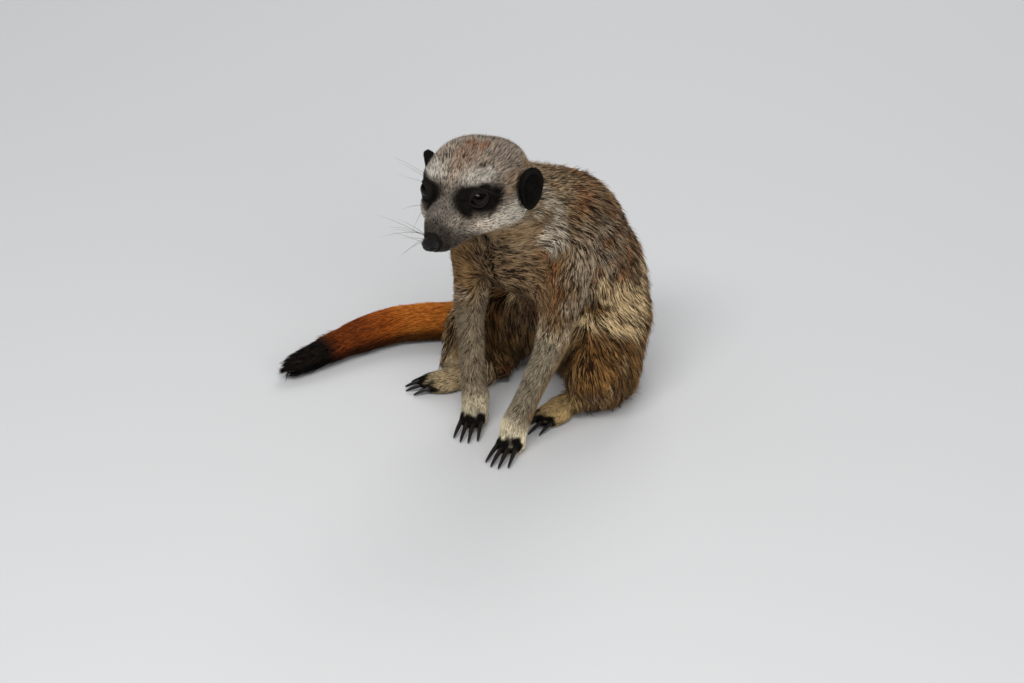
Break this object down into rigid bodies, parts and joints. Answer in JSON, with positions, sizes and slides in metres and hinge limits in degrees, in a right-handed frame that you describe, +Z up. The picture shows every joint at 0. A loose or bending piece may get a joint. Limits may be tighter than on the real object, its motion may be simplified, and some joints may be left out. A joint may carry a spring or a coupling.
{
  "type": "sitting meerkat",
  "caption": "Life-size still figure of a meerkat sitting on its haunches, forefeet on the floor, tail laid round its right side.",
  "frame": {"origin": "middle of the bounding box's base, on the floor that the feet, rump and tail rest on", "axes": "+Z up; the trunk faces -Y and the head is turned a little towards +X, which is the animal's left"},
  "size_m": [0.1698, 0.1832, 0.1835],
  "materials": {
    "head_coat": "very short speckled fur, grey-brown and cream, with dark eye patches",
    "body_coat": "grizzled fur in fine locks, tan and cream over dark brown, with faint bars on the back",
    "leg_coat": "short pale grey-brown fur",
    "paw_coat": "very short cream fur, black on the toes",
    "tail_coat": "sleek rust-coloured fur",
    "tail_tip_coat": "sleek black fur",
    "ear": "black skin with a fine velvet of hair",
    "eye": "wet gloss over a very dark brown iris",
    "nose": "moist black pebbled skin",
    "claw": "satin black horn"
  },
  "bodies": {
    "root": {"head": "head_coat", "ear_left": "ear", "ear_right": "ear", "eye_left": "eye", "eye_right": "eye", "nose": "nose", "neck": "body_coat", "trunk_front": "body_coat", "trunk_middle": "body_coat", "trunk_rear": "body_coat", "thigh_left": "body_coat", "thigh_right": "body_coat", "upper_arm_left": "leg_coat", "upper_arm_right": "leg_coat", "forearm_left": "leg_coat", "forearm_right": "leg_coat", "paw_front_left": "paw_coat", "paw_front_right": "paw_coat", "foot_hind_left": "paw_coat", "foot_hind_right": "paw_coat", "tail_1": "tail_coat", "tail_2": "tail_coat", "tail_3": "tail_coat", "tail_4": "tail_coat", "tail_5": "tail_tip_coat", "claw_front_left_1": "claw", "claw_front_left_2": "claw", "claw_front_left_3": "claw", "claw_front_left_4": "claw", "claw_front_right_1": "claw", "claw_front_right_2": "claw", "claw_front_right_3": "claw", "claw_front_right_4": "claw", "claw_hind_left_1": "claw", "claw_hind_left_2": "claw", "claw_hind_left_3": "claw", "claw_hind_left_4": "claw", "claw_hind_right_1": "claw", "claw_hind_right_2": "claw", "claw_hind_right_3": "claw", "claw_hind_right_4": "claw"}
  },
  "joints": []
}
